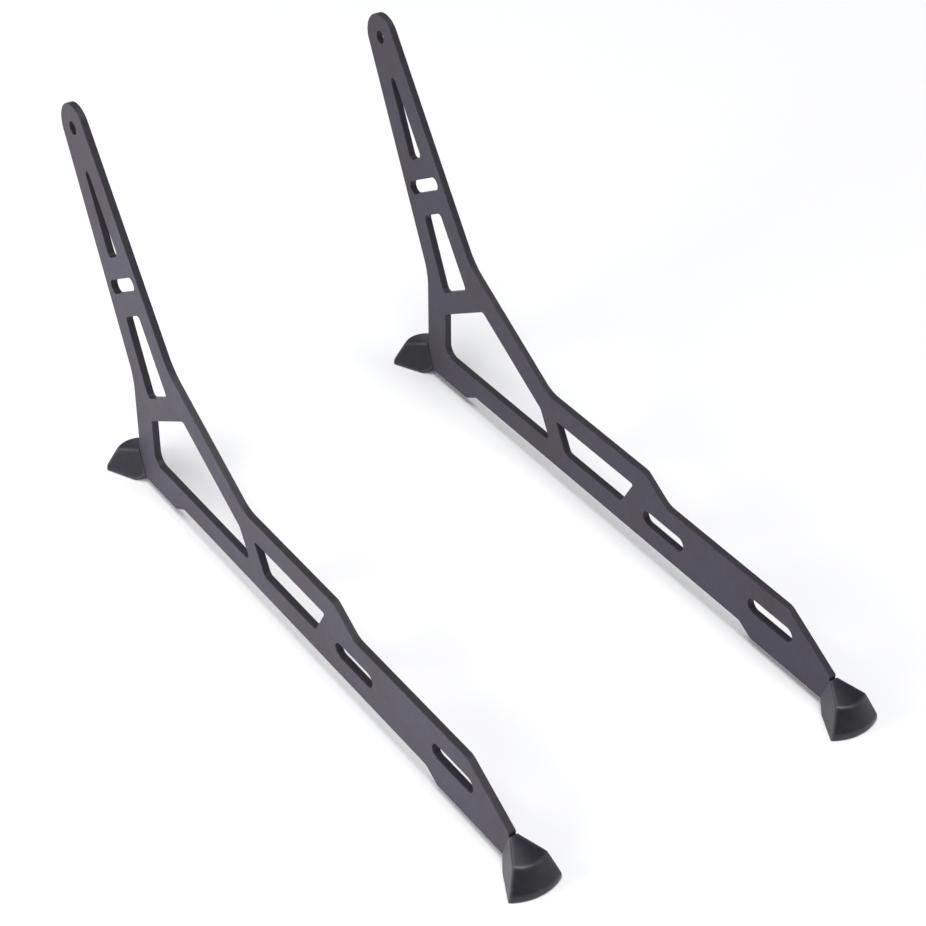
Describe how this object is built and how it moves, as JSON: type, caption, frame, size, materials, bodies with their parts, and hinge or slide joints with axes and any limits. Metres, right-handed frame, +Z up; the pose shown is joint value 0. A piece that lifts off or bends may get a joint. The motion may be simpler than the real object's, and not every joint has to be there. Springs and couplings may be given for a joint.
{
  "type": "support bracket pair",
  "caption": "Matching flat-plate support brackets: slotted lower arm, braced upper arm that leans back to a top hole, and flared rubber feet.",
  "frame": {"origin": "centre of the pair, on the ground under the soles", "axes": "+X from the heels towards the fronts of the lower arms, +Y from the left bracket to the right bracket, +Z up"},
  "size_m": [0.5296, 0.2634, 0.257],
  "materials": {
    "satin_grey_paint": "satin",
    "black_rubber": "matte",
    "black_screw": "black oxide",
    "zinc_washer": "zinc plated"
  },
  "bodies": {
    "left_bracket": {"left_plate": "satin_grey_paint", "left_rear_foot": "black_rubber", "left_rear_screw": "black_screw", "left_rear_washer": "zinc_washer", "left_front_foot": "black_rubber", "left_front_screw": "black_screw", "left_front_washer": "zinc_washer"},
    "right_bracket": {"right_plate": "satin_grey_paint", "right_rear_foot": "black_rubber", "right_rear_screw": "black_screw", "right_rear_washer": "zinc_washer", "right_front_foot": "black_rubber", "right_front_screw": "black_screw", "right_front_washer": "zinc_washer"}
  },
  "joints": [
    {"name": "bracket_spacing", "type": "slide", "parent": "left_bracket", "child": "right_bracket", "axis": [0, 1, 0], "range_m": [-0.12, 0.15]}
  ]
}
